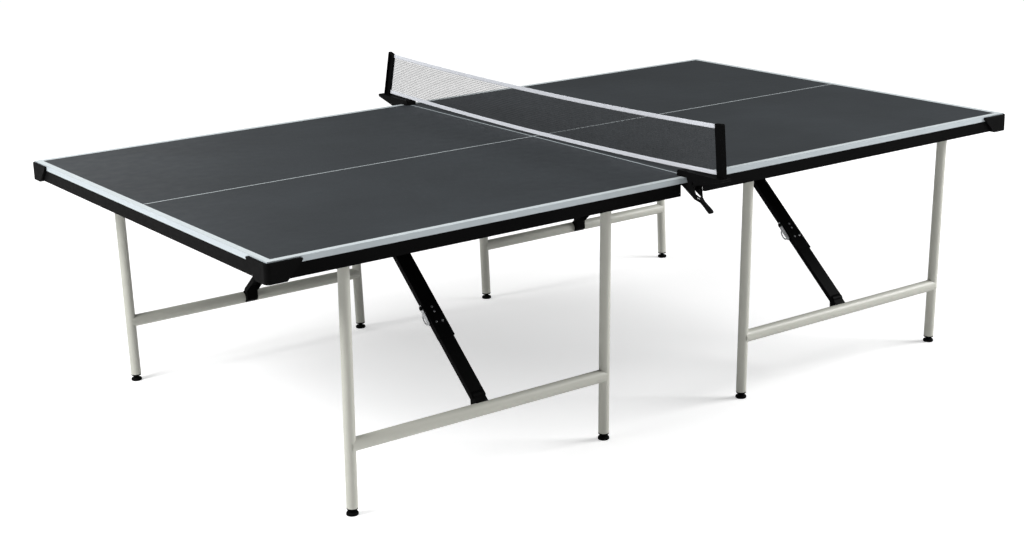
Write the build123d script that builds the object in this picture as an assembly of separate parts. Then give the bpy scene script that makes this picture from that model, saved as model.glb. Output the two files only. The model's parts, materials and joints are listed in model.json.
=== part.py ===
"""Folding table-tennis table: two half tables on folding tube legs, and a clamp-on net.

Millimetres, +Z up.  The origin is on the floor under the centre of the table, +X runs along
the table's length (the left half lies at -X) and the front of the table faces -Y.
"""
from build123d import *
import math
import os

os.makedirs("parts", exist_ok=True)

# ---- table top ----
TABLE_LENGTH = 2740.0
TABLE_WIDTH = 1525.0
SURFACE_Z = 760.0
BOARD_T = 16.0
BAND_T = 2.0
SEAM_GAP = 0.4
BOARD_Z = SURFACE_Z - BOARD_T
HALF_L = TABLE_LENGTH / 2
HALF_W = TABLE_WIDTH / 2

# ---- apron rails: folded steel channels under the board's edge ----
APRON_DEPTH = 37.0
APRON_T = 1.5
APRON_TOP_FLANGE = 20.0
APRON_LOW_FLANGE = 12.0
APRON_SEAM_END = {"left": 36.0, "right": 48.0}
APRON_END_R = {"left": 0.0, "right": 9.0}

# ---- moulded corner caps ----
CAP_TOP_Z = 757.0
CAP_BOTTOM_Z = 703.0
CAP_TOP_RUN = 105.0
CAP_LOW_RUN = 58.0
CAP_STEP_RUN = 97.0
CAP_STEP_Z = 742.0
CAP_LIP_H = 5.0
CAP_T = 8.0
CAP_CORNER_R = 14.0
CAP_FIT = 0.2
CAP_TOP_R = 2.5

# ---- leg frames ----
FRAME_X = 701.0
LEG_SPACING = 856.0
LEG_R = 15.875
CROSSBAR_R = 19.05
TUBE_WALL = 1.5
FOOT_Y = 691.0
HINGE_Y = 714.0
HINGE_Z = 701.0
CROSSBAR_UP = 200.0
LEG_ABOVE_HINGE = 16.0
LEG_BOTTOM_UP = 21.0
LEG_TILT = math.degrees(math.atan2(HINGE_Y - FOOT_Y, HINGE_Z))
LEG_AXIS_LENGTH = math.hypot(HINGE_Y - FOOT_Y, HINGE_Z)
FOLD_ANGLE = 88.0

# ---- leg plugs and levelling feet ----
PLUG_FLANGE_T = 4.5
PLUG_INSERT = 22.0
PLUG_FIT = 0.1
PLUG_EDGE_R = 1.5
STEM_R = 4.0
RUNNING_FIT = 0.05
PAD_R = 17.0
PAD_T = 9.0
PAD_TOP_R = 4.0
PAD_FOOT_CHAMFER = 1.0
NECK_R = 8.0
NECK_TOP = 11.5
NECK_SUNK = 2.0
STEM_TOP = 52.0

# ---- leg hinges ----
HINGE_BOLT_R = 4.0
HINGE_EAR_GAP = 18.0
HINGE_EAR_T = 3.0
HINGE_EAR_HALF = 10.0
HINGE_BASE = (62.0, 52.0, 3.0)
HINGE_SCREWS = (26.0, 17.0)
HINGE_BOLT_AF = 13.0
HINGE_HEAD_T = 5.3
HINGE_NUT_T = 7.0
HINGE_BOLT_TAIL = 9.0

# ---- folding braces, in the plane of each frame's middle ----
BRACE_FOOT_Y = 671.0
BRACE_FOOT_Z = 231.0
BRACE_TOP_Y = 105.0
BRACE_TOP_Z = 727.0
ARM_T = 2.0
UPPER_ARM_W = 50.4
LOWER_ARM_W = 45.4
UPPER_WEB_OUT = 11.0
UPPER_FLANGE_IN = 5.0
LOWER_HALF_DEPTH = 7.5
LOWER_WEB_START = 10.6
TIP_BEVEL = (7.0, 4.5)
ARM_END_R = 8.0
UPPER_END_R = 12.0
BRACE_PIN_R = 3.5
UPPER_ARM_PAST_ELBOW = 110.0
LOWER_ARM_TOP = 211.0
RIVET_R = 2.0
RIVET_HEAD = (3.6, 2.2)
RIVET_TAIL = (3.0, 1.0)
RIVETS = ((8, 0), (24, 0), (58, -10), (58, 10))
HANGER_BASE = (76.0, 44.0, 3.0)
HANGER_SCREWS = (33.0, 14.0)
HANGER_EAR_T = 2.5
HANGER_EAR_HALF = 14.0
HANGER_EAR_R = 12.0
HANGER_FIT = 0.6
HANGER_PIN_HEAD = (6.0, 2.5)
CLEVIS_HALF_W = 19.5
LUG_TIP = (9.0, 7.2)
LUG_TONGUE = (13.5, 5.0)
LUG_ROOT = (-30.0, 7.2)
LUG_BOSS_R = 11.5
LUG_REACH = 7.0
LUG_UNDER = ((14.05, -13.0), (21.05, -13.0))
LUG_HEEL = 4.0

# ---- brace lock lever ----
LOCK_T = 2.5
LOCK_GAP = 0.4
LOCK_PIN_R = 3.0
LOCK_PIN_HEAD = (6.0, 1.8)
LOCK_OUTLINE = [  # (along the upper arm from the elbow, away from its web)
    (-9, -6), (12, -6), (54, -3), (58, 1), (58, 7), (52, 8), (51, 13), (46, 18), (37, 20), (27, 19),
    (19, 15), (15, 8), (-6, 7), (-9, 3),
]
LOCK_WINDOW = [(21, 9), (47, 8), (46, 12), (42, 15), (36, 17), (28, 16), (22, 13)]

# ---- wood screws ----
SCREW_HEAD = (4.0, 2.0)
SCREW_EDGE_R = 1.0
SCREW_R = 1.8
SCREW_IN = 13.0
APRON_SCREW_IN = 16.0
SIDE_SCREWS = 5
SIDE_SCREW_END = (30.0, 120.0)
END_SCREW_YS = (-500.0, -170.0, 170.0, 500.0)

# ---- net set ----
NET_TOP_AT_POST = 929.0
NET_TOP_AT_MIDDLE = 914.0
NET_HEIGHT = 145.0
TAPE_H = 12.5
TAPE_T = 2.4
MESH_T = 1.2
POST_OUT_Y = {"front": 912.0, "back": 898.0}
POST_LEAN = {"front": 4.0, "back": 15.5}
POST_W = 32.0
POST_D = 10.0
POST_T = 1.6
POST_TOP_Z = 932.0
POST_CHAMFER = 3.0
POST_SUNK = 10.0
CLAMP_W = 38.0
CLAMP_T = 2.0
CLAMP_TOP_Z = 778.0
CLAMP_PIVOT_Y = 790.0
CLAMP_PIVOT_Z = 747.0
CLAMP_PIN_R = 3.0
JAW_W = 30.0
HANDLE_W = 12.0
JAW_WALL = 2.2
CLAMP_PIN_HEAD = (5.2, 2.0)
SPRING_R = 6.0
SPRING_HALF = 10.0
SPRING_WIRE = 2.0
CONTACT_GAP = 0.3
CLAMP_SIDE = [  # (y, z) round the clamp body of the front
    (-725, 760.3), (-765.5, 760.3), (-770.5, 752), (-778, 740), (-792, 737), (-804, 742),
    (-902, 766), (-911, 768), (-914, 772), (-914, 776), (-912, 778), (-730, 778), (-725, 773),
]
CLAMP_Y = (-914, -725)
CLAMP_PAD = (-750.5, -728.0)
LEVER_SIDE = [  # (y, z) round the front clamp's jaw and handle
    (-730, 743.4), (-766, 743.4), (-772, 750), (-783, 755), (-797, 755), (-802, 750), (-797, 731),
    (-800, 716), (-820, 696), (-852, 677), (-856, 673), (-855, 668), (-850, 666), (-845, 668),
    (-824, 684), (-800, 699), (-778, 712), (-745, 731), (-730, 736),
]
LEVER_NARROWS = (-798, -811)
LEVER_HOLLOW = (-768, -798, -808)
LEVER_SLOT = [(-801, 710), (-803, 705), (-840, 677), (-841, 679.5)]
LEVER_Y = (-870, -729)
LEVER_Z = (650, 770)

# ---- seam dowels ----
DOWEL_R = 4.0
DOWEL_OUT = 22.0
DOWEL_IN = 24.0
DOWEL_CHAMFER = 1.2
DOWEL_YS = (-560.0, -180.0, 180.0, 560.0)

SIDES = {"left": -1, "right": 1}
ROWS = {"front": -1, "back": 1}


def prism_x(points, x0, x1):
    """A polygon of (y, z) points, extruded from x0 to x1."""
    face = make_face(Polyline(*points, close=True))
    return extrude(Plane.YZ.offset(x0) * face, amount=x1 - x0)


def prism_y(points, y0, y1):
    """A polygon of (x, z) points, extruded from y0 to y1."""
    plane = Plane(origin=(0, y1, 0), x_dir=(1, 0, 0), z_dir=(0, -1, 0))
    return extrude(plane * make_face(Polyline(*points, close=True)), amount=y1 - y0)


def prism_z(points, z0, z1):
    """A polygon of (x, y) points, extruded from z0 to z1."""
    return extrude(Plane.XY.offset(z0) * make_face(Polyline(*points, close=True)), amount=z1 - z0)


def box(x0, x1, y0, y1, z0, z1):
    """A block between two corners."""
    centre = ((x0 + x1) / 2, (y0 + y1) / 2, (z0 + z1) / 2)
    return Pos(*centre) * Box(abs(x1 - x0), abs(y1 - y0), abs(z1 - z0))


def rod_x(y, z, radius, x0, x1):
    """A round bar along X."""
    return Pos((x0 + x1) / 2, y, z) * Rot(0, 90, 0) * Cylinder(radius, x1 - x0)


def rod_z(x, y, radius, z0, z1):
    """A round bar along Z."""
    return Pos(x, y, (z0 + z1) / 2) * Cylinder(radius, z1 - z0)


def tube(radius, wall, z0, z1):
    """A round tube along Z."""
    return rod_z(0, 0, radius, z0, z1) - rod_z(0, 0, radius - wall, z0 - 1, z1 + 1)


def solids_of(*shapes):
    """All the solids of several shapes, as one flat list."""
    return [solid for shape in shapes for solid in shape.solids()]


def save(node, *shapes):
    """Write the shapes' solids as one node."""
    solids = solids_of(*shapes)
    result = solids[0] if len(solids) == 1 else Compound(children=solids)
    export_step(result, f"parts/{node}.step")


def place(shape, row, side):
    """Move a shape built for the front frame at x = 0 to one of the four frames."""
    turn = Rot(0, 0, 0) if row == "front" else Rot(0, 0, 180)
    return Pos(SIDES[side] * FRAME_X, 0, 0) * turn * shape


def on_half(shape, side):
    """Mirror a shape built for the left half onto the side it belongs to."""
    return shape if side == "left" else mirror(shape, about=Plane.YZ)


def both_rows(shape):
    """A shape of the front row and its mirror image in the back row."""
    return [shape, mirror(shape, about=Plane.XZ)]


# ---------------------------------------------------------------- table top

def board():
    """The left half's board, inside its edge bands, with dowel holes in the seam edge."""
    seam_x = -SEAM_GAP / 2 - BAND_T
    plain = box(-HALF_L + BAND_T, seam_x, -HALF_W + BAND_T, HALF_W - BAND_T, BOARD_Z, SURFACE_Z)
    for y in DOWEL_YS:
        plain -= rod_x(y, BOARD_Z + BOARD_T / 2, DOWEL_R + RUNNING_FIT, seam_x - DOWEL_IN, seam_x)
    return plain


def edge_bands():
    """Four white edge strips of the left half."""
    seam_x = -SEAM_GAP / 2
    long_strip = box(-HALF_L, seam_x, -HALF_W, -HALF_W + BAND_T, BOARD_Z, SURFACE_Z)
    end_y = HALF_W - BAND_T
    end_strip = box(-HALF_L, -HALF_L + BAND_T, -end_y, end_y, BOARD_Z, SURFACE_Z)
    seam_strip = box(seam_x - BAND_T, seam_x, -end_y, end_y, BOARD_Z, SURFACE_Z)
    for y in DOWEL_YS:
        hole = rod_x(y, BOARD_Z + BOARD_T / 2, DOWEL_R + RUNNING_FIT, seam_x - BAND_T, seam_x)
        seam_strip -= hole
    return both_rows(long_strip) + [end_strip, seam_strip]


def channel_profile():
    """The apron's folded section as (inward, z) points, starting at the outer top edge."""
    low = BOARD_Z - APRON_DEPTH
    return [
        (0, BOARD_Z), (APRON_TOP_FLANGE, BOARD_Z), (APRON_TOP_FLANGE, BOARD_Z - APRON_T),
        (APRON_T, BOARD_Z - APRON_T), (APRON_T, low + APRON_T),
        (APRON_LOW_FLANGE, low + APRON_T), (APRON_LOW_FLANGE, low), (0, low),
    ]


def side_apron(side):
    """A half's front rail, built at the left; its lower corner beside the seam may be rounded."""
    points = [(-HALF_W + inward, z) for inward, z in channel_profile()]
    seam_x = -APRON_SEAM_END[side]
    rail = prism_x(points, -HALF_L, seam_x)
    radius = APRON_END_R[side]
    if radius:
        low = BOARD_Z - APRON_DEPTH
        depth = APRON_TOP_FLANGE + 1
        corner = box(seam_x - radius, seam_x + 1, -HALF_W - 1, -HALF_W + depth, low - 1, low + radius)
        round_off = Pos(seam_x - radius, -HALF_W, low + radius) * Rot(90, 0, 0) * Cylinder(radius, 3 * depth)
        rail -= corner - round_off
    return rail


def end_apron():
    """The left half's end rail, between the two side rails."""
    clear = HALF_W - APRON_TOP_FLANGE - CAP_FIT
    points = [(-HALF_L + inward, z) for inward, z in channel_profile()]
    return prism_y(points, -clear, clear)


def corner_cap():
    """The left front corner's cap: two slanted cheeks and a lip under the apron."""
    x_out = -HALF_L - CAP_T
    y_out = -HALF_W - CAP_T
    cheek = [
        (0, CAP_BOTTOM_Z), (CAP_LOW_RUN, CAP_BOTTOM_Z), (CAP_STEP_RUN, CAP_STEP_Z),
        (CAP_TOP_RUN, CAP_TOP_Z - CAP_LIP_H), (CAP_TOP_RUN, CAP_TOP_Z), (0, CAP_TOP_Z),
    ]
    depth = CAP_T + APRON_LOW_FLANGE
    front = prism_y([(x_out + run, z) for run, z in cheek], y_out, y_out + depth)
    end = prism_x([(y_out + run, z) for run, z in cheek], x_out, x_out + depth)
    cap = front + end
    upright = cap.edges().filter_by(Axis.Z).sort_by(lambda edge: edge.center().X + edge.center().Y)[0]
    cap = fillet(upright, CAP_CORNER_R)
    cap = fillet(cap.edges().group_by(Axis.Z)[-1], CAP_TOP_R)
    low = BOARD_Z - APRON_DEPTH - CAP_FIT
    table = box(-HALF_L - CAP_FIT, 0, -HALF_W - CAP_FIT, 0, low, SURFACE_Z + 1)
    cap -= table
    return cap


# ---------------------------------------------------------------- leg frames

LEG_LOC = Pos(0, -FOOT_Y, 0) * Rot(LEG_TILT, 0, 0)
LEG_XS = (-LEG_SPACING / 2, LEG_SPACING / 2)


def up_leg(distance):
    """The (y, z) point at a distance up the front leg's axis from the floor."""
    tilt = math.radians(LEG_TILT)
    return -FOOT_Y - distance * math.sin(tilt), distance * math.cos(tilt)


CROSSBAR_Y, CROSSBAR_Z = up_leg(CROSSBAR_UP)


def leg_frame():
    """Two round legs and the crossbar coped between them, one welded frame."""
    top = LEG_AXIS_LENGTH + LEG_ABOVE_HINGE
    hole = rod_x(0, LEG_AXIS_LENGTH, HINGE_BOLT_R + RUNNING_FIT, -LEG_SPACING, LEG_SPACING)
    legs = [Pos(x, 0, 0) * tube(LEG_R, TUBE_WALL, LEG_BOTTOM_UP, top) - hole for x in LEG_XS]
    reach = LEG_SPACING / 2
    bar = rod_x(0, CROSSBAR_UP, CROSSBAR_R, -reach, reach)
    bar -= rod_x(0, CROSSBAR_UP, CROSSBAR_R - TUBE_WALL, -reach - 1, reach + 1)
    for x in LEG_XS:
        bar -= rod_z(x, 0, LEG_R, 0, top)
    return [LEG_LOC * piece for piece in legs + [bar]]


def leg_plug():
    """A plastic plug in one tube end, bored for the foot's stem."""
    bottom = LEG_BOTTOM_UP - PLUG_FLANGE_T
    flange = rod_z(0, 0, LEG_R + PLUG_FIT, bottom, LEG_BOTTOM_UP)
    flange = fillet(flange.edges().sort_by(Axis.Z)[:1], PLUG_EDGE_R)
    insert = rod_z(0, 0, LEG_R - TUBE_WALL, LEG_BOTTOM_UP, LEG_BOTTOM_UP + PLUG_INSERT)
    return flange + insert - rod_z(0, 0, STEM_R + RUNNING_FIT, 0, STEM_TOP)


def levelling_foot(x):
    """A screw foot: a flat round pad, a neck and a stem that runs up inside the leg."""
    pad = Pos(0, 0, PAD_T / 2) * Cylinder(PAD_R, PAD_T)
    pad = fillet(pad.edges().sort_by(Axis.Z)[-1:], PAD_TOP_R)
    pad = chamfer(pad.edges().sort_by(Axis.Z)[:1], PAD_FOOT_CHAMFER)
    neck = rod_z(0, 0, NECK_R, PAD_T - NECK_SUNK, NECK_TOP)
    stem = rod_z(0, 0, STEM_R, PAD_T - NECK_SUNK, STEM_TOP)
    return Pos(x, -FOOT_Y, 0) * pad + LEG_LOC * Pos(x, 0, 0) * (neck + stem)


def hinge_bracket(x):
    """A U bracket under the board that carries one leg's hinge bolt."""
    half_x, half_y = HINGE_BASE[0] / 2, HINGE_BASE[1] / 2
    base_z = BOARD_Z - HINGE_BASE[2]
    bracket = box(x - half_x, x + half_x, -HINGE_Y - half_y, -HINGE_Y + half_y, base_z, BOARD_Z)
    for x0 in (x - HINGE_EAR_GAP - HINGE_EAR_T, x + HINGE_EAR_GAP):
        ear = box(x0, x0 + HINGE_EAR_T, -HINGE_Y - HINGE_EAR_HALF, -HINGE_Y + HINGE_EAR_HALF, HINGE_Z, base_z)
        ear += rod_x(-HINGE_Y, HINGE_Z, HINGE_EAR_HALF, x0, x0 + HINGE_EAR_T)
        bracket += ear
    return bracket - rod_x(-HINGE_Y, HINGE_Z, HINGE_BOLT_R, x - half_x, x + half_x)


def hexagon_x(y, z, across_flats, x0, x1):
    """A hexagonal head or nut with its axis along X."""
    face = RegularPolygon(across_flats / 2, 6, major_radius=False)
    return extrude(Plane.YZ.offset(x0) * Pos(y, z) * face, amount=x1 - x0)


def hinge_bolt(x):
    """A hinge bolt with its head, and the nut that closes it."""
    reach = HINGE_EAR_GAP + HINGE_EAR_T
    shank = rod_x(-HINGE_Y, HINGE_Z, HINGE_BOLT_R, x - reach, x + reach + HINGE_BOLT_TAIL)
    head = hexagon_x(-HINGE_Y, HINGE_Z, HINGE_BOLT_AF, x - reach - HINGE_HEAD_T, x - reach)
    nut = hexagon_x(-HINGE_Y, HINGE_Z, HINGE_BOLT_AF, x + reach, x + reach + HINGE_NUT_T)
    return shank + head + nut


# ---------------------------------------------------------------- folding braces

def fold_point(y, z, degrees):
    """Where a (y, z) point of the front frame goes when the frame folds by an angle."""
    turn = math.radians(degrees)
    dy, dz = y + HINGE_Y, z - HINGE_Z
    return (-HINGE_Y + dy * math.cos(turn) - dz * math.sin(turn),
            HINGE_Z + dy * math.sin(turn) + dz * math.cos(turn))


FOOT_PIN = (-BRACE_FOOT_Y, BRACE_FOOT_Z)
TOP_PIN = (-BRACE_TOP_Y, BRACE_TOP_Z)
FOOT_PIN_FOLDED = fold_point(*FOOT_PIN, FOLD_ANGLE)
OPEN_SPAN = math.dist(FOOT_PIN, TOP_PIN)
FOLDED_SPAN = math.dist(FOOT_PIN_FOLDED, TOP_PIN)
LOWER_ARM_L = (OPEN_SPAN - FOLDED_SPAN) / 2
UPPER_ARM_L = (OPEN_SPAN + FOLDED_SPAN) / 2
BRACE_SLOPE = math.degrees(math.atan2(TOP_PIN[1] - FOOT_PIN[1], TOP_PIN[0] - FOOT_PIN[0]))


def channel_arm(width, web_out, flange_in, start, end, pins):
    """A folded channel along +Y from a pin at the origin, with its web on the +Z side."""
    outline = [(start, -flange_in), (end, -flange_in), (end, web_out), (start, web_out)]
    arm = prism_x(outline, -width / 2, width / 2)
    inside = [(start - 1, -flange_in - 1), (end + 1, -flange_in - 1), (end + 1, web_out - ARM_T),
              (start - 1, web_out - ARM_T)]
    arm -= prism_x(inside, -width / 2 + ARM_T, width / 2 - ARM_T)
    for along, radius in pins:
        arm -= rod_x(along, 0, radius, -width, width)
    return arm


def rounded_end(arm, radius):
    """Round a channel's end about its pin at the origin."""
    reach = 3 * UPPER_ARM_W
    beyond = box(-reach, reach, -reach, 0, -reach, reach)
    return arm - (beyond - rod_x(0, 0, radius, -reach, reach))


def upper_arm():
    """The brace's upper channel, from the hanger pin down past the elbow."""
    reach = UPPER_ARM_L + UPPER_ARM_PAST_ELBOW
    pins = [(0, BRACE_PIN_R + RUNNING_FIT)]
    arm = channel_arm(UPPER_ARM_W, UPPER_WEB_OUT, UPPER_FLANGE_IN, -ARM_END_R, reach, pins)
    arm = rounded_end(arm, UPPER_END_R)
    half = UPPER_ARM_W / 2
    outer = -half - LOCK_T - 2 * LOCK_GAP
    head_r, head_t = LOCK_PIN_HEAD
    arm += rod_x(UPPER_ARM_L, 0, LOCK_PIN_R, half - ARM_T, half + head_t)
    arm += rod_x(UPPER_ARM_L, 0, head_r, half, half + head_t)
    arm += rod_x(UPPER_ARM_L, 0, LOCK_PIN_R, outer, -half + ARM_T)
    arm += rod_x(UPPER_ARM_L, 0, head_r, outer - head_t, outer)
    for along, x in RIVETS:
        arm -= rod_z(x, UPPER_ARM_L + along, RIVET_R, 0, 2 * UPPER_WEB_OUT)
    return on_upper_arm(mirror(arm, about=Plane.XY))


def on_upper_arm(shape):
    """Move a shape built along +Y from the hanger pin to where the upper arm lies."""
    return Pos(0, *TOP_PIN) * Rot(BRACE_SLOPE + 180, 0, 0) * shape


def elbow_rivets():
    """Four domed rivets through the upper arm's web, near its elbow."""
    head_r, head_t = RIVET_HEAD
    tail_r, tail_t = RIVET_TAIL
    inside = UPPER_WEB_OUT - ARM_T
    rivets = []
    for along, x in RIVETS:
        y = UPPER_ARM_L + along
        head = rod_z(x, y, head_r, UPPER_WEB_OUT, UPPER_WEB_OUT + head_t)
        head = fillet(head.edges().sort_by(Axis.Z)[-1:], head_t / 2)
        tail = rod_z(x, y, tail_r, inside - tail_t, inside)
        rivet = head + tail + rod_z(x, y, RIVET_R, inside - tail_t, UPPER_WEB_OUT + head_t / 2)
        rivets.append(on_upper_arm(mirror(rivet, about=Plane.XY)))
    return rivets


def lower_arm():
    """The brace's lower channel, from the clevis pin up to the open elbow."""
    pins = [(0, BRACE_PIN_R + RUNNING_FIT)]
    arm = channel_arm(LOWER_ARM_W, LOWER_HALF_DEPTH, LOWER_HALF_DEPTH, -ARM_END_R, LOWER_ARM_TOP, pins)
    arm = rounded_end(arm, ARM_END_R)
    inner = LOWER_ARM_W / 2 - ARM_T
    arm -= box(-inner, inner, -2 * ARM_END_R, LOWER_WEB_START, 0, 2 * LOWER_HALF_DEPTH)
    depth = -LOWER_HALF_DEPTH
    bevel = [(LOWER_ARM_TOP + 1, depth - 1), (LOWER_ARM_TOP + 1, depth + TIP_BEVEL[1]),
             (LOWER_ARM_TOP, depth + TIP_BEVEL[1]), (LOWER_ARM_TOP - TIP_BEVEL[0], depth),
             (LOWER_ARM_TOP - TIP_BEVEL[0], depth - 1)]
    arm -= prism_x(bevel, -LOWER_ARM_W, LOWER_ARM_W)
    return Pos(0, *FOOT_PIN) * Rot(BRACE_SLOPE, 0, 0) * arm


def lock_lever():
    """The flat lock lever on the elbow's outer rivet, with a finger hook under the arm."""
    half = UPPER_ARM_W / 2
    lever = prism_x(LOCK_OUTLINE, -half - LOCK_GAP - LOCK_T, -half - LOCK_GAP)
    lever -= prism_x(LOCK_WINDOW, -2 * half, 0)
    lever -= rod_x(0, 0, LOCK_PIN_R + RUNNING_FIT, -2 * half, 0)
    return on_upper_arm(Pos(0, UPPER_ARM_L, 0) * lever)


def along_lower_arm(along, out):
    """The (y, z) point at a distance up the lower arm from its pin, and out from its middle."""
    slope = math.radians(BRACE_SLOPE)
    return (FOOT_PIN[0] + along * math.cos(slope) - out * math.sin(slope),
            FOOT_PIN[1] + along * math.sin(slope) + out * math.cos(slope))


def brace_clevis():
    """The solid lug welded to the crossbar, its face flush with the lower arm's web, and its pin."""
    pin_y, pin_z = FOOT_PIN
    reach = pin_y + LUG_REACH
    under = [(CROSSBAR_Y + dy, CROSSBAR_Z + dz) for dy, dz in LUG_UNDER]
    outline = [
        along_lower_arm(*LUG_TONGUE), along_lower_arm(LUG_TIP[0], LUG_TONGUE[1]), along_lower_arm(*LUG_TIP),
        along_lower_arm(*LUG_ROOT), (CROSSBAR_Y, CROSSBAR_Z), *under, (reach, CROSSBAR_Z - LUG_HEEL),
    ]
    boss = rod_x(pin_y, pin_z, LUG_BOSS_R, -CLEVIS_HALF_W, CLEVIS_HALF_W)
    boss -= box(-CLEVIS_HALF_W, CLEVIS_HALF_W, reach, reach + LUG_BOSS_R, 0, 2 * pin_z)
    lug = prism_x(outline, -CLEVIS_HALF_W, CLEVIS_HALF_W) + boss
    lug -= rod_x(CROSSBAR_Y, CROSSBAR_Z, CROSSBAR_R, -LOWER_ARM_W, LOWER_ARM_W)
    lug -= rod_x(pin_y, pin_z, BRACE_PIN_R, -LOWER_ARM_W, LOWER_ARM_W)
    pin = rod_x(pin_y, pin_z, BRACE_PIN_R, -LOWER_ARM_W / 2, LOWER_ARM_W / 2)
    return [lug, pin]


def brace_hanger():
    """The U hanger under the board that holds the upper arm, and its pin."""
    pin_y, pin_z = TOP_PIN
    half_x, half_y = HANGER_BASE[0] / 2, HANGER_BASE[1] / 2
    base_z = BOARD_Z - HANGER_BASE[2]
    hanger = box(-half_x, half_x, pin_y - half_y, pin_y + half_y, base_z, BOARD_Z)
    inner = UPPER_ARM_W / 2 + HANGER_FIT
    outer = inner + HANGER_EAR_T
    for x0 in (-inner - HANGER_EAR_T, inner):
        x1 = x0 + HANGER_EAR_T
        hanger += box(x0, x1, pin_y - HANGER_EAR_HALF, pin_y + HANGER_EAR_HALF, pin_z, base_z)
        hanger += rod_x(pin_y, pin_z, HANGER_EAR_R, x0, x1)
    hanger -= rod_x(pin_y, pin_z, BRACE_PIN_R, -half_x, half_x)
    head_r, head_t = HANGER_PIN_HEAD
    pin = rod_x(pin_y, pin_z, BRACE_PIN_R, -outer, outer)
    pin += rod_x(pin_y, pin_z, head_r, -outer - head_t, -outer)
    pin += rod_x(pin_y, pin_z, head_r, outer, outer + head_t)
    return [hanger, pin]


def four_ways(offset):
    """The four corners of a rectangle, given half its sides."""
    half_x, half_y = offset
    return [(-half_x, -half_y), (-half_x, half_y), (half_x, -half_y), (half_x, half_y)]


def screw_up(x, y, z):
    """A wood screw driven up through a plate whose lower face is at z."""
    head_r, head_t = SCREW_HEAD
    head = rod_z(x, y, head_r, z - head_t, z)
    head = fillet(head.edges().sort_by(Axis.Z)[:1], SCREW_EDGE_R)
    return head + rod_z(x, y, SCREW_R, z - head_t / 2, z + SCREW_IN)


def half_screws(side):
    """A half's wood screws, built at the left: hinge brackets, brace hangers and apron rails."""
    screws = []
    base_z = BOARD_Z - HINGE_BASE[2]
    for leg_x in LEG_XS:
        for dx, dy in four_ways(HINGE_SCREWS):
            screws.append(screw_up(-FRAME_X + leg_x + dx, -HINGE_Y + dy, base_z))
    for dx, dy in four_ways(HANGER_SCREWS):
        screws.append(screw_up(-FRAME_X + dx, TOP_PIN[0] + dy, base_z))
    first, last = -APRON_SEAM_END[side] - SIDE_SCREW_END[0], -HALF_L + SIDE_SCREW_END[1]
    for step in range(SIDE_SCREWS):
        x = first + step * (last - first) / (SIDE_SCREWS - 1)
        screws.append(screw_up(x, -HALF_W + APRON_SCREW_IN, BOARD_Z - APRON_T))
    rows = [both_rows(screw) for screw in screws]
    end = [screw_up(-HALF_L + APRON_SCREW_IN, y, BOARD_Z - APRON_T) for y in END_SCREW_YS]
    return [solid for pair in rows for solid in pair] + end


# ---------------------------------------------------------------- net set

def net_post(row):
    """A flat folded channel that leans inwards on its clamp, built at the front."""
    out_y, in_y = -POST_OUT_Y[row], -POST_OUT_Y[row] + POST_W
    lean = POST_LEAN[row]
    top = CLAMP_TOP_Z + (POST_TOP_Z - CLAMP_TOP_Z) / math.cos(math.radians(lean))
    low = CLAMP_TOP_Z - POST_SUNK
    outline = [(out_y, low), (in_y, low), (in_y, top - POST_CHAMFER), (in_y - POST_CHAMFER, top),
               (out_y + POST_CHAMFER, top), (out_y, top - POST_CHAMFER)]
    post = prism_x(outline, -POST_D / 2, POST_D / 2)
    post -= box(POST_T - POST_D / 2, POST_D, out_y + POST_T, in_y - POST_T, 0, top - 2 * POST_CHAMFER)
    foot = Pos(0, (out_y + in_y) / 2, CLAMP_TOP_Z)
    leaning = foot * Rot(-lean, 0, 0) * foot.inverse() * post
    return leaning - box(-POST_W, POST_W, 2 * out_y, 0, 0, CLAMP_TOP_Z)


def post_face_y(row, z):
    """How far the inner face of a row's post is from the table's middle line at a height."""
    lean = math.radians(POST_LEAN[row])
    foot_y = POST_OUT_Y[row] - POST_W / 2
    return foot_y - POST_W / 2 / math.cos(lean) - (z - CLAMP_TOP_Z) * math.tan(lean)


def net_band(drop_top, drop_bottom, thickness):
    """A strip of the net between two drops below its sagging top edge."""
    edges = []
    for drop in (drop_top, drop_bottom):
        end_z = NET_TOP_AT_POST - drop
        front_y, back_y = -post_face_y("front", end_z), post_face_y("back", end_z)
        edges.append(((front_y, end_z), ((front_y + back_y) / 2, NET_TOP_AT_MIDDLE - drop), (back_y, end_z)))
    top, bottom = edges
    outline = [
        ThreePointArc(*top), Line(top[2], bottom[2]),
        ThreePointArc(*reversed(bottom)), Line(bottom[0], top[0]),
    ]
    return extrude(Plane.YZ.offset(-thickness / 2) * make_face(outline), amount=thickness)


def clamp_body():
    """The clamp's upper channel: a top plate over the seam and two deepening cheeks."""
    half = CLAMP_W / 2
    body = prism_x(CLAMP_SIDE, -half, half)
    inner = half - CLAMP_T
    body -= box(-inner, inner, CLAMP_Y[0] + CLAMP_T, CLAMP_Y[1] - CLAMP_T, 0, CLAMP_TOP_Z - CLAMP_T)
    body -= rod_x(-CLAMP_PIVOT_Y, CLAMP_PIVOT_Z, CLAMP_PIN_R, -CLAMP_W, CLAMP_W)
    return body + box(1 - inner, inner - 1, *CLAMP_PAD, SURFACE_Z + CONTACT_GAP, CLAMP_TOP_Z - CLAMP_T)


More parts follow.
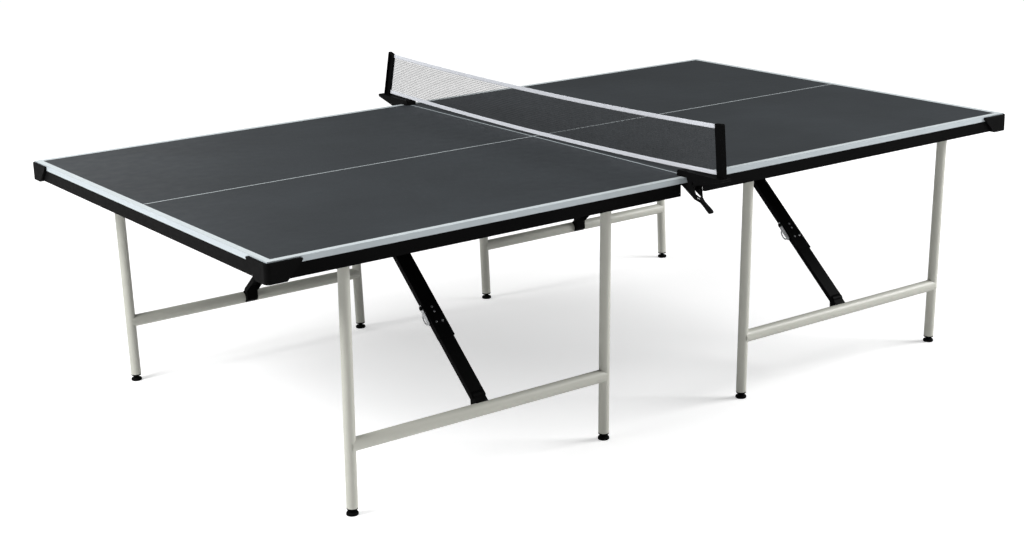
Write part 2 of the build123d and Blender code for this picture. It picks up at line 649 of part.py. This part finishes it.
def clamp_lever():
    """The clamp's lower jaw, which narrows into a slim handle with a long slot through it."""
    lever = prism_x(LEVER_SIDE, -JAW_W / 2, JAW_W / 2)
    wide, slim = JAW_W / 2, HANDLE_W / 2
    (tip, root), (wide_to, slim_from) = LEVER_Y, LEVER_NARROWS
    plan = [(-wide, root), (-wide, wide_to), (-slim, slim_from), (-slim, tip), (slim, tip),
            (slim, slim_from), (wide, wide_to), (wide, root)]
    lever &= prism_z(plan, *LEVER_Z)
    wide, slim = wide - JAW_WALL, slim - JAW_WALL
    start, wide_to, end = LEVER_HOLLOW
    hollow = [(-wide, start), (-wide, wide_to), (-slim, end), (slim, end), (wide, wide_to), (wide, start)]
    lever -= prism_z(hollow, *LEVER_Z)
    lever -= prism_x(LEVER_SLOT, -JAW_W, JAW_W)
    return lever - rod_x(-CLAMP_PIVOT_Y, CLAMP_PIVOT_Z, CLAMP_PIN_R + RUNNING_FIT, -JAW_W, JAW_W)


def clamp_pin():
    """The clamp's headed pivot pin."""
    half = CLAMP_W / 2
    pin = rod_x(-CLAMP_PIVOT_Y, CLAMP_PIVOT_Z, CLAMP_PIN_R, -half, half)
    head_r, head_t = CLAMP_PIN_HEAD
    for x0, x1 in ((-half - head_t, -half), (half, half + head_t)):
        pin += rod_x(-CLAMP_PIVOT_Y, CLAMP_PIVOT_Z, head_r, x0, x1)
    return pin


def clamp_spring():
    """The torsion spring's coil on the pin, with its leg against the top plate."""
    y, z = -CLAMP_PIVOT_Y, CLAMP_PIVOT_Z
    coil = rod_x(y, z, SPRING_R, -SPRING_HALF, SPRING_HALF)
    coil -= rod_x(y, z, SPRING_R - SPRING_WIRE, -2 * SPRING_HALF, 2 * SPRING_HALF)
    leg_y = y - SPRING_R - SPRING_WIRE * 0.75
    leg = box(-SPRING_HALF, SPRING_WIRE - SPRING_HALF, leg_y, leg_y + SPRING_WIRE, z, CLAMP_TOP_Z - CLAMP_T)
    foot = box(-SPRING_HALF, SPRING_WIRE - SPRING_HALF, leg_y, y - SPRING_R + SPRING_WIRE * 0.75,
               z - SPRING_WIRE * 0.75, z + SPRING_WIRE * 0.75)
    return coil + leg + foot


def seam_dowel(y):
    """A steel dowel fixed in the left board that locates the right board."""
    z = BOARD_Z + BOARD_T / 2
    seam_x = -SEAM_GAP / 2 - BAND_T
    peg = rod_x(y, z, DOWEL_R, seam_x - DOWEL_IN, DOWEL_OUT)
    return chamfer(peg.edges().sort_by(Axis.X)[-1:], DOWEL_CHAMFER)


def turned(shape):
    """A front net fitting and its twin at the back, turned half round."""
    return [shape, Rot(0, 0, 180) * shape]


# ---------------------------------------------------------------- build

screws = {side: [on_half(screw, side) for screw in half_screws(side)] for side in SIDES}
places = [(row, side, x) for row in ROWS for side in SIDES for x in LEG_XS]
frames = [(row, side) for row in ROWS for side in SIDES]
save("fixing_screws", *screws["left"], *screws["right"])
save("hinge_brackets", *[place(hinge_bracket(x), row, side) - screws[side] for row, side, x in places])
save("hinge_bolts", *[place(hinge_bolt(x), row, side) for row, side, x in places])
save("brace_hangers",
     *[place(piece, row, side) - screws[side] for row, side in frames for piece in brace_hanger()])

for side in SIDES:
    save(f"{side}_panel", on_half(board(), side) - screws[side])
    save(f"{side}_edge_bands", *[on_half(strip, side) for strip in edge_bands()])
    rails = [on_half(rail, side) - screws[side] for rail in both_rows(side_apron(side))]
    save(f"{side}_side_aprons", *rails)
    save(f"{side}_end_apron", on_half(end_apron(), side) - screws[side])
    save(f"{side}_corner_caps", *[on_half(cap, side) for cap in both_rows(corner_cap())])
    for row in ROWS:
        corner = f"{row}_{side}"
        save(f"{corner}_leg_frame", *[place(piece, row, side) for piece in leg_frame()])
        plugs = [place(LEG_LOC * Pos(x, 0, 0) * leg_plug(), row, side) for x in LEG_XS]
        save(f"{corner}_leg_plugs", *plugs)
        save(f"{corner}_brace_clevis", *[place(piece, row, side) for piece in brace_clevis()])
        save(f"{corner}_upper_arm", place(upper_arm(), row, side))
        save(f"{corner}_elbow_rivets", *[place(rivet, row, side) for rivet in elbow_rivets()])
        save(f"{corner}_lower_arm", place(lower_arm(), row, side))
        save(f"{corner}_lock_lever", place(lock_lever(), row, side))
        for x in LEG_XS:
            outer = (x < 0) == (side == "left")
            if row == "back":
                outer = not outer
            end = "outer" if outer else "inner"
            save(f"{corner}_{end}_foot", place(levelling_foot(x), row, side))

save("net_mesh", net_band(TAPE_H, NET_HEIGHT - TAPE_H, MESH_T))
save("net_top_tape", net_band(0, TAPE_H, TAPE_T))
save("net_bottom_tape", net_band(NET_HEIGHT - TAPE_H, NET_HEIGHT, TAPE_T))
save("net_posts", net_post("front"), Rot(0, 0, 180) * net_post("back"))
save("net_clamp_bodies", *turned(clamp_body()))
save("net_clamp_pins", *turned(clamp_pin()))
save("net_clamp_springs", *turned(clamp_spring()))
front_lever, back_lever = turned(clamp_lever())
save("front_net_clamp_lever", front_lever)
save("back_net_clamp_lever", back_lever)
save("seam_dowels", *[seam_dowel(y) for y in DOWEL_YS])

print("brace slope", round(BRACE_SLOPE, 3))
print("lower arm", round(LOWER_ARM_L, 2), "upper arm", round(UPPER_ARM_L, 2))
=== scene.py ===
"""The looks of the folding table-tennis table.

Materials, the net's cloth, the clamp springs' wire, the camera, the floor and the light.
"""

import json
import math

import bpy
from mathutils import Matrix, Vector


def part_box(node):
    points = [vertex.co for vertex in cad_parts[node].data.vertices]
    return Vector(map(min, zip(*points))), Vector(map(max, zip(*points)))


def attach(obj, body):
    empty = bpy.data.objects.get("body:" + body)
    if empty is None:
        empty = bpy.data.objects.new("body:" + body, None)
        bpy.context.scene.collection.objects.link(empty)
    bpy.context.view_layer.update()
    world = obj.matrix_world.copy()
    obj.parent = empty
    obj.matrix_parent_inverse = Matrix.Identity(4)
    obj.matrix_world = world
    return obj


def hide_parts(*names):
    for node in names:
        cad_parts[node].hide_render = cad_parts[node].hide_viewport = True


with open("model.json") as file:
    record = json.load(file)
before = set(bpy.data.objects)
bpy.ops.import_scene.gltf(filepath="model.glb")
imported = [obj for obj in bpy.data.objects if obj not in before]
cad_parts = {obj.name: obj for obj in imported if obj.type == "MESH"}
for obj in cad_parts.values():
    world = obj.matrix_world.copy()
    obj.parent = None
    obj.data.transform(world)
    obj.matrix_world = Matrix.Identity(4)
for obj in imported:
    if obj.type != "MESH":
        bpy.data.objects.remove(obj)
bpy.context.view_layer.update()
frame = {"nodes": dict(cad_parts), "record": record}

MM = 0.001
NODES = frame["nodes"]

# ---- sizes that the looks need, in metres ----
BAND_LOW, BAND_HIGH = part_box("left_edge_bands")
TOP_Z = BAND_HIGH.z
HALF_LENGTH = -BAND_LOW.x
HALF_WIDTH = BAND_HIGH.y
BORDER_LINE = 20 * MM
CENTRE_LINE = 4 * MM
LINE_BLUR = 0.25 * MM
NET_SAG = 15 * MM
NET_PITCH = 6 * MM
STRAND_D = 1.15 * MM
STRAND_SIDES = 4
STRAND_STEPS = 72
STRAND_TUCK = 3 * MM
HEM_SEGMENTS = 96
HEM_FOLD_R = 1.15 * MM
HEM_FOLD_STEPS = 12
HEM_WAIST = ((0.8 * MM, 0.3), (0.62 * MM, 0.6))  # (half thickness, share of the tape's height)
HEM_EDGE = ((0.75 * MM, 0.4 * MM), (0.45 * MM, 0.0))  # (half thickness, distance from the raw edge)
RIPPLE = 0.12 * MM
RIPPLE_WAVES = (37.0, 9.0, 11.0)
STITCH_PITCH = 4 * MM
STITCH_L = 2.6 * MM
STITCH_R = 0.28 * MM
STITCH_SIDES = 4
STITCH_OUT = 0.72 * MM
STITCH_SUNK = 0.2 * MM
STITCH_PROUD = 0.12 * MM
STITCH_INSET = 2.2 * MM
SPRING_TURNS = 8
SPRING_STEPS = 14
SPRING_R = 5.2 * MM
SPRING_WIRE_R = 0.65 * MM
SPRING_WIRE_SIDES = 8
SPRING_LEG = 12 * MM


# ---------------------------------------------------------------- node materials

class Graph:
    """A small helper that adds and joins shader nodes."""

    def __init__(self, name):
        self.material = bpy.data.materials.new(name)
        self.material.use_nodes = True
        self.tree = self.material.node_tree
        self.tree.nodes.clear()
        self.output = self.tree.nodes.new("ShaderNodeOutputMaterial")
        self.shader = self.tree.nodes.new("ShaderNodeBsdfPrincipled")
        self.tree.links.new(self.shader.outputs[0], self.output.inputs[0])
        self.coords = self.tree.nodes.new("ShaderNodeTexCoord").outputs["Object"]

    def add(self, kind, **settings):
        """A new node with its properties set."""
        node = self.tree.nodes.new(kind)
        for key, value in settings.items():
            setattr(node, key, value)
        return node

    def feed(self, socket, value):
        """Join a socket to another, or set it to a plain value."""
        if isinstance(value, bpy.types.NodeSocket):
            self.tree.links.new(value, socket)
        else:
            socket.default_value = value

    def math(self, operation, *values):
        """A math node's result."""
        node = self.add("ShaderNodeMath", operation=operation)
        for socket, value in zip(node.inputs, values):
            self.feed(socket, value)
        return node.outputs[0]

    def noise(self, scale, detail=3.0, roughness=0.55, stretch=(1, 1, 1)):
        """Noise in object space, with scale in cycles per metre."""
        mapping = self.add("ShaderNodeMapping")
        self.feed(mapping.inputs["Vector"], self.coords)
        mapping.inputs["Scale"].default_value = stretch
        node = self.add("ShaderNodeTexNoise")
        self.feed(node.inputs["Vector"], mapping.outputs[0])
        node.inputs["Scale"].default_value = scale
        node.inputs["Detail"].default_value = detail
        node.inputs["Roughness"].default_value = roughness
        return node.outputs[0]

    def spread(self, value, low, high, start=0.3, end=0.7):
        """A value rescaled from start..end to low..high."""
        node = self.add("ShaderNodeMapRange")
        self.feed(node.inputs["Value"], value)
        node.inputs["From Min"].default_value = start
        node.inputs["From Max"].default_value = end
        node.inputs["To Min"].default_value = low
        node.inputs["To Max"].default_value = high
        return node.outputs[0]

    def blend(self, factor, first, second):
        """Two colours mixed by a factor."""
        node = self.add("ShaderNodeMix", data_type="RGBA")
        self.feed(node.inputs["Factor"], factor)
        for key, colour in (("A", first), ("B", second)):
            socket = [s for s in node.inputs if s.name == key and s.type == "RGBA"][0]
            self.feed(socket, colour if isinstance(colour, bpy.types.NodeSocket) else (*colour, 1.0))
        return [s for s in node.outputs if s.type == "RGBA"][0]

    def bump(self, *layers):
        """Bump nodes in a chain, one per (height, strength, distance)."""
        normal = None
        for height, strength, distance in layers:
            node = self.add("ShaderNodeBump")
            self.feed(node.inputs["Height"], height)
            node.inputs["Strength"].default_value = strength
            node.inputs["Distance"].default_value = distance
            if normal is not None:
                self.feed(node.inputs["Normal"], normal)
            normal = node.outputs[0]
        self.feed(self.shader.inputs["Normal"], normal)

    def finish(self, colour, roughness, metallic=0.0, **constants):
        """Set the shader's main sockets; constants are named with underscores for spaces."""
        self.feed(self.shader.inputs["Base Color"], colour)
        self.feed(self.shader.inputs["Roughness"], roughness)
        self.shader.inputs["Metallic"].default_value = metallic
        for key, value in constants.items():
            self.shader.inputs[key.replace("_", " ")].default_value = value
        return self.material


def shade(colour, factor):
    """A colour made lighter or darker."""
    return tuple(min(1.0, channel * factor) for channel in colour)


def coated(name, colour, rough, vary, peel=(900, 0.12, 0.00012), patch=3.0, **constants):
    """Paint or plastic: slow colour drift, uneven gloss and a fine orange peel.

    The peel is (cycles per metre, strength, depth in metres) and patch is the drift's cycles per metre.
    """
    g = Graph(name)
    tone = g.blend(g.spread(g.noise(patch), 0, 1), shade(colour, 1 - vary), shade(colour, 1 + vary))
    gloss = g.spread(g.noise(60, 4), rough * 0.88, rough * 1.12)
    scale, strength, distance = peel
    g.bump((g.noise(scale, 2), strength, distance))
    return g.finish(tone, gloss, **constants)


def playing_surface():
    """Matt charcoal paint with the court's white lines."""
    g = Graph("court_paint")
    split = g.add("ShaderNodeSeparateXYZ")
    g.feed(split.inputs[0], g.coords)
    along, across, up = (g.math("ABSOLUTE", out) for out in split.outputs)
    border_x = HALF_LENGTH - BORDER_LINE
    border_y = HALF_WIDTH - BORDER_LINE
    edge_x = g.spread(along, 0, 1, border_x - LINE_BLUR, border_x + LINE_BLUR)
    edge_y = g.spread(across, 0, 1, border_y - LINE_BLUR, border_y + LINE_BLUR)
    centre = g.spread(across, 1, 0, CENTRE_LINE / 2 - LINE_BLUR, CENTRE_LINE / 2 + LINE_BLUR)
    lines = g.math("MAXIMUM", g.math("MAXIMUM", edge_x, edge_y), centre)
    top = g.math("GREATER_THAN", up, TOP_Z - MM)
    mask = g.math("MULTIPLY", lines, top)
    drift = g.math("ADD", g.noise(2.2, 4), g.math("MULTIPLY", g.noise(420, 2), 0.25))
    paint = g.blend(g.spread(drift, 0, 1, 0.4, 0.85), COURT_DARK, COURT_LIGHT)
    white = g.blend(g.spread(g.noise(35, 4), 0, 1), LINE_WHITE, shade(LINE_WHITE, 0.93))
    gloss = g.math("SUBTRACT", g.spread(g.noise(25, 4), 0.50, 0.58), g.math("MULTIPLY", mask, 0.08))
    g.bump((g.noise(1400, 2), 0.10, 0.0001), (mask, 0.4, 0.00005))
    return g.finish(g.blend(mask, paint, white), gloss, Specular_IOR_Level=0.35)


def plated():
    """Zinc plate: streaky, with a soft metallic shine."""
    g = Graph("zinc_plate")
    tone = g.blend(g.spread(g.noise(220, 4), 0, 1), (0.20, 0.20, 0.21), (0.60, 0.61, 0.62))
    gloss = g.spread(g.noise(500, 3, stretch=(1, 6, 1)), 0.20, 0.40)
    g.bump((g.noise(1600, 3, stretch=(1, 5, 1)), 0.12, 0.00008))
    return g.finish(tone, gloss, metallic=1.0)


def woven(name, colour, threads, rough):
    """Cloth tape: a plain weave of threads per metre along Y and Z."""
    g = Graph(name)
    split = g.add("ShaderNodeSeparateXYZ")
    g.feed(split.inputs[0], g.coords)
    directions = (split.outputs["Y"], split.outputs["Z"])
    waves = [g.math("SINE", g.math("MULTIPLY", value, threads * 2 * math.pi)) for value in directions]
    weave = g.math("MULTIPLY", waves[0], waves[1])
    tone = g.blend(g.spread(weave, 0, 1, -1, 1), shade(colour, 0.86), shade(colour, 1.04))
    g.bump((weave, 0.35, 0.00015), (g.noise(180, 3), 0.2, 0.0004))
    return g.finish(tone, rough, Sheen_Weight=0.25)


COURT_DARK = (0.029, 0.034, 0.038)
COURT_LIGHT = (0.040, 0.047, 0.053)
LINE_WHITE = (0.66, 0.72, 0.74)

BLACK_STEEL = coated("black_powder_coat", (0.0036, 0.0036, 0.0037), rough=0.42, vary=0.2,
                     Specular_IOR_Level=0.016)
BLACK_PLASTIC = coated("black_moulded_plastic", (0.0042, 0.0042, 0.0043), rough=0.5, vary=0.15,
                       peel=(2200, 0.25, 0.00008), Specular_IOR_Level=0.024)
LEG_PAINT = coated("bone_powder_coat", (0.56, 0.56, 0.50), rough=0.42, vary=0.03,
                   peel=(1100, 0.10, 0.0001), patch=2.0)
EDGE_WHITE = coated("white_edge_band", (0.50, 0.555, 0.585), rough=0.36, vary=0.04,
                    peel=(500, 0.08, 0.0001), patch=5.0)
COURT = playing_surface()
ZINC = plated()
TAPE = woven("white_net_tape", (0.70, 0.72, 0.77), threads=900, rough=0.8)
CORD = coated("grey_net_cord", (0.040, 0.042, 0.046), rough=0.75, vary=0.2,
              peel=(3000, 0.3, 0.0001), patch=40.0)
THREAD = coated("white_sewing_thread", (0.78, 0.79, 0.82), rough=0.7, vary=0.06,
                peel=(3000, 0.3, 0.0001), patch=50.0)

BY_SLOT = {
    "playing_surface": COURT,
    "edge_white": EDGE_WHITE,
    "black_steel": BLACK_STEEL,
    "leg_paint": LEG_PAINT,
    "black_plastic": BLACK_PLASTIC,
    "zinc_steel": ZINC,
    "net_tape": TAPE,
    "net_mesh": CORD,
}

for entry in frame["record"]["subparts"]:
    node = NODES[entry["node"]]
    material = BY_SLOT[entry["material_slot"]]
    node.data.materials.clear()
    node.data.materials.append(material)


# ---------------------------------------------------------------- mesh making

def add_mesh(name, points, faces, material, smooth=True):
    """A new object from points and faces."""
    mesh = bpy.data.meshes.new(name)
    mesh.from_pydata([tuple(p) for p in points], [], faces)
    mesh.polygons.foreach_set("use_smooth", [smooth] * len(mesh.polygons))
    mesh.materials.append(material)
    mesh.update()
    thing = bpy.data.objects.new(name, mesh)
    bpy.context.scene.collection.objects.link(thing)
    return thing


def sweep(path, radius, sides, side_axis, points, faces):
    """Add a capped tube along a path; side_axis is a direction that the path never follows."""
    rings = []
    last = len(path) - 1
    for i, point in enumerate(path):
        ahead = (path[min(i + 1, last)] - path[max(i - 1, 0)]).normalized()
        out = (side_axis - ahead * side_axis.dot(ahead)).normalized()
        up = ahead.cross(out)
        start = len(points)
        for k in range(sides):
            turn = 2 * math.pi * (k + 0.5) / sides
            points.append(point + radius * (math.cos(turn) * out + math.sin(turn) * up))
        rings.append(range(start, start + sides))
    for first, second in zip(rings, rings[1:]):
        for k in range(sides):
            n = (k + 1) % sides
            faces.append((first[k], first[n], second[n], second[k]))
    faces.append(tuple(reversed(rings[0])))
    faces.append(tuple(rings[-1]))


# ---------------------------------------------------------------- the net

TAPE_LOW, TAPE_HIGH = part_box("net_top_tape")
MESH_LOW, MESH_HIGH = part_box("net_mesh")
HEM_LOW, HEM_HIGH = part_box("net_bottom_tape")
NET_TOP = TAPE_HIGH.z
TAPE_H = NET_TOP - NET_SAG - TAPE_LOW.z
MESH_DROP = NET_TOP - NET_SAG - MESH_LOW.z
NET_H = NET_TOP - NET_SAG - HEM_LOW.z


def net_ends(drop):
    """Where the net meets the front and back posts, at a distance below its top edge."""
    share = (drop - TAPE_H) / (NET_H - TAPE_H)
    front = TAPE_LOW.y + share * (HEM_LOW.y - TAPE_LOW.y)
    back = TAPE_HIGH.y + share * (HEM_HIGH.y - TAPE_HIGH.y)
    return front, back


def half_span(drop):
    """Half the net's length at a distance below its top edge."""
    front, back = net_ends(drop)
    return (back - front) / 2


def net_point(u, drop, x=0.0):
    """A point of the sagging net: u runs from -1 at the front post to 1 at the back post."""
    front, back = net_ends(drop)
    span = (back - front) / 2
    radius = (span * span + NET_SAG * NET_SAG) / (2 * NET_SAG)
    rise = radius - math.sqrt(radius * radius - u * u * span * span)
    return Vector((x, (front + back) / 2 + u * span, NET_TOP - NET_SAG - drop + rise))


def net_mesh():
    """The net's knotless mesh, as a real grid of strands."""
    points, faces = [], []
    side = Vector((1, 0, 0))
    columns = round(2 * half_span(MESH_DROP) / NET_PITCH)
    rows = round((MESH_DROP - TAPE_H) / NET_PITCH)
    drops = (TAPE_H - STRAND_TUCK, (TAPE_H + MESH_DROP) / 2, MESH_DROP + STRAND_TUCK)
    for i in range(1, columns):
        u = 2 * i / columns - 1
        path = [net_point(u, drop) for drop in drops]
        sweep(path, STRAND_D / 2, STRAND_SIDES, side, points, faces)
    for j in range(rows + 1):
        drop = TAPE_H + (MESH_DROP - TAPE_H) * j / rows
        path = [net_point(2 * k / STRAND_STEPS - 1, drop) for k in range(STRAND_STEPS + 1)]
        sweep(path, STRAND_D / 2, STRAND_SIDES, side, points, faces)
    net = add_mesh("net_strands", points, faces, CORD, smooth=False)
    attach(net, "table")
    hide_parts("net_mesh")
    return net


def tape(name, node, top_drop, bottom_drop, folded_up):
    """A cloth tape folded over the net's edge: flat faces, a fuller fold and a little ripple."""
    height = bottom_drop - top_drop
    turns = [math.pi * k / HEM_FOLD_STEPS for k in range(HEM_FOLD_STEPS + 1)]
    fold = [(HEM_FOLD_R * math.cos(turn), HEM_FOLD_R * (1 - math.sin(turn))) for turn in turns]
    flank = [(x, share * height) for x, share in HEM_WAIST] + [(x, height - up) for x, up in HEM_EDGE]
    outline = fold + [(-x, down) for x, down in flank] + list(reversed(flank))
    fine, rise, slow = RIPPLE_WAVES
    points, faces = [], []
    count = len(outline)
    for i in range(HEM_SEGMENTS + 1):
        u = 2 * i / HEM_SEGMENTS - 1
        for x, down in outline:
            drop = top_drop + down if folded_up else bottom_drop - down
            ripple = RIPPLE * math.sin(fine * u + rise * down / height) * math.sin(slow * u)
            points.append(net_point(u, drop, x + ripple))
    for i in range(HEM_SEGMENTS):
        for k in range(count):
            n = (k + 1) % count
            quad = (i * count + k, i * count + n, (i + 1) * count + n, (i + 1) * count + k)
            faces.append(quad if folded_up else tuple(reversed(quad)))
    first = tuple(range(count))
    last = tuple(range(HEM_SEGMENTS * count, (HEM_SEGMENTS + 1) * count))
    faces.append(tuple(reversed(first)) if folded_up else first)
    faces.append(last if folded_up else tuple(reversed(last)))
    cloth = add_mesh(name, points, faces, TAPE)
    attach(cloth, "table")
    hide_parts(node)
    return cloth


def stitches(name, seam_drop):
    """A row of thread stitches on both faces of a tape."""
    points, faces = [], []
    count = int(2 * half_span(seam_drop) / STITCH_PITCH)
    step = STITCH_L / half_span(seam_drop) / 2
    for face in (-1, 1):
        sunk, proud = face * (STITCH_OUT - STITCH_SUNK), face * (STITCH_OUT + STITCH_PROUD)
        for i in range(1, count):
            u = 2 * i / count - 1
            path = [
                net_point(u - step, seam_drop, sunk),
                net_point(u, seam_drop, proud),
                net_point(u + step, seam_drop, sunk),
            ]
            sweep(path, STITCH_R, STITCH_SIDES, Vector((0, 0, 1)), points, faces)
    row = add_mesh(name, points, faces, THREAD)
    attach(row, "table")
    return row


net = net_mesh()
top_tape = tape("net_top_band", "net_top_tape", 0, TAPE_H, True)
bottom_tape = tape("net_bottom_band", "net_bottom_tape", MESH_DROP, NET_H, False)
top_stitches = stitches("net_top_stitches", TAPE_H - STITCH_INSET)
bottom_stitches = stitches("net_bottom_stitches", MESH_DROP + STITCH_INSET)


# ---------------------------------------------------------------- clamp springs

def clamp_springs():
    """Two torsion springs of round wire, each with a leg up to its clamp's top plate."""
    low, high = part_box("net_clamp_springs")
    pin_low, pin_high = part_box("net_clamp_pins")
    centre_z = (pin_low.z + pin_high.z) / 2
    centre_y = pin_high.y - (pin_high.z - pin_low.z) / 2
    half = (high.x - low.x) / 2 - SPRING_WIRE_R
    leg_y = -centre_y - SPRING_R
    steps = SPRING_TURNS * SPRING_STEPS
    path = [Vector((-half, leg_y, high.z - SPRING_WIRE_R))]
    for i in range(steps + 1):
        angle = 2 * math.pi * i / SPRING_STEPS
        x = -half + 2 * half * i / steps
        y = -centre_y - SPRING_R * math.cos(angle)
        path.append(Vector((x, y, centre_z + SPRING_R * math.sin(angle))))
    path.append(Vector((half, leg_y, centre_z + SPRING_LEG)))
    back_path = [Vector((-p.x, -p.y, p.z)) for p in path]
    points, faces = [], []
    for wire in (path, back_path):
        sweep(wire, SPRING_WIRE_R, SPRING_WIRE_SIDES, Vector((1, 0.2, 0.1)), points, faces)
    springs = add_mesh("net_clamp_spring_wires", points, faces, ZINC)
    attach(springs, "table")
    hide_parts("net_clamp_springs")


clamp_springs()


# ---------------------------------------------------------------- camera, floor and light

CAMERA_AT = Vector((-3.2696, -4.4814, 1.9213))
CAMERA_AZIMUTH = math.radians(-35.297)
CAMERA_ELEVATION = math.radians(16.172)
CAMERA_ROLL = math.radians(-1.546)
CAMERA_LENS = 61.823
SENSOR = 36.0
CLIP_END = 200.0
FLOOR_SIZE = 40.0
FLOOR_GLOW = 0.12
FLOOR_LOOKS = (0.50, 0.85)
FLOOR_LOOKS_AT = (2.5, 7.0)
ROOM_LIGHT = 0.13
LAMP_AIM = Vector((0, 0, 0.5))
LAMPS = {  # name: (place, side of the square, watts)
    "left": ((-5.5, 0.5, 4.5), 3.0, 420),
    "right_front": ((5.0, -3.0, 3.5), 3.0, 370),
    "back_left": ((-2.5, 5.5, 3.0), 3.0, 50),
    "far_back": ((0.0, 7.0, 2.6), 4.0, 30),
}


def make_camera():
    """The camera at the fitted place, with its small roll."""
    data = bpy.data.cameras.new("camera")
    data.lens = CAMERA_LENS
    data.sensor_width = SENSOR
    data.clip_end = CLIP_END
    camera = bpy.data.objects.new("camera", data)
    bpy.context.scene.collection.objects.link(camera)
    back = Vector((
        math.sin(CAMERA_AZIMUTH) * math.cos(CAMERA_ELEVATION),
        -math.cos(CAMERA_AZIMUTH) * math.cos(CAMERA_ELEVATION),
        math.sin(CAMERA_ELEVATION),
    ))
    right = (-back).cross(Vector((0, 0, 1))).normalized()
    up = right.cross(-back)
    cos_r, sin_r = math.cos(CAMERA_ROLL), math.sin(CAMERA_ROLL)
    right, up = right * cos_r + up * sin_r, up * cos_r - right * sin_r
    turn = Matrix((right, up, back)).transposed().to_4x4()
    camera.matrix_world = Matrix.Translation(CAMERA_AT) @ turn
    bpy.context.scene.camera = camera


def make_floor():
    """A plain pale floor that looks evenly white, though it lights the table only a little."""
    corners = [(-FLOOR_SIZE, -FLOOR_SIZE, 0), (FLOOR_SIZE, -FLOOR_SIZE, 0),
               (FLOOR_SIZE, FLOOR_SIZE, 0), (-FLOOR_SIZE, FLOOR_SIZE, 0)]
    g = Graph("studio_floor")
    tone = g.blend(g.spread(g.noise(0.5), 0, 1), (0.79, 0.79, 0.79), (0.81, 0.81, 0.81))
    away = g.add("ShaderNodeVectorMath", operation="LENGTH")
    g.feed(away.inputs[0], g.coords)
    seen = g.add("ShaderNodeLightPath").outputs["Is Camera Ray"]
    looks = g.spread(away.outputs["Value"], *FLOOR_LOOKS, *FLOOR_LOOKS_AT)
    glow = g.add("ShaderNodeMix", data_type="FLOAT")
    g.feed(glow.inputs["Factor"], seen)
    g.feed(glow.inputs["A"], FLOOR_GLOW)
    g.feed(glow.inputs["B"], looks)
    g.feed(g.shader.inputs["Emission Strength"], glow.outputs[0])
    g.bump((g.noise(40, 2), 0.02, 0.0005))
    paint = g.finish(tone, 0.9, Specular_IOR_Level=0.1, Emission_Color=(1, 1, 1, 1))
    floor = add_mesh("studio_floor", corners, [(0, 1, 2, 3)], paint)


def area_light(name, place, size, power):
    """A soft square lamp that points at the table."""
    data = bpy.data.lights.new(name, "AREA")
    data.shape = "SQUARE"
    data.size = size
    data.energy = power
    lamp = bpy.data.objects.new(name, data)
    bpy.context.scene.collection.objects.link(lamp)
    lamp.visible_camera = False
    lamp.location = place
    lamp.rotation_mode = "QUATERNION"
    lamp.rotation_quaternion = (LAMP_AIM - Vector(place)).to_track_quat("-Z", "Y")


def make_light():
    """A white room that lights the table only a little, and large soft lamps around it."""
    world = bpy.data.worlds.new("studio")
    world.use_nodes = True
    tree = world.node_tree
    background = tree.nodes["Background"]
    background.inputs["Color"].default_value = (1, 1, 1, 1)
    seen = tree.nodes.new("ShaderNodeLightPath").outputs["Is Camera Ray"]
    strength = tree.nodes.new("ShaderNodeMapRange")
    tree.links.new(seen, strength.inputs["Value"])
    strength.inputs["To Min"].default_value = ROOM_LIGHT
    strength.inputs["To Max"].default_value = 1.0
    tree.links.new(strength.outputs[0], background.inputs["Strength"])
    bpy.context.scene.world = world
    for name, (place, size, power) in LAMPS.items():
        area_light(name, place, size, power)


make_camera()
make_floor()
make_light()
bpy.context.scene.view_settings.view_transform = "Standard"
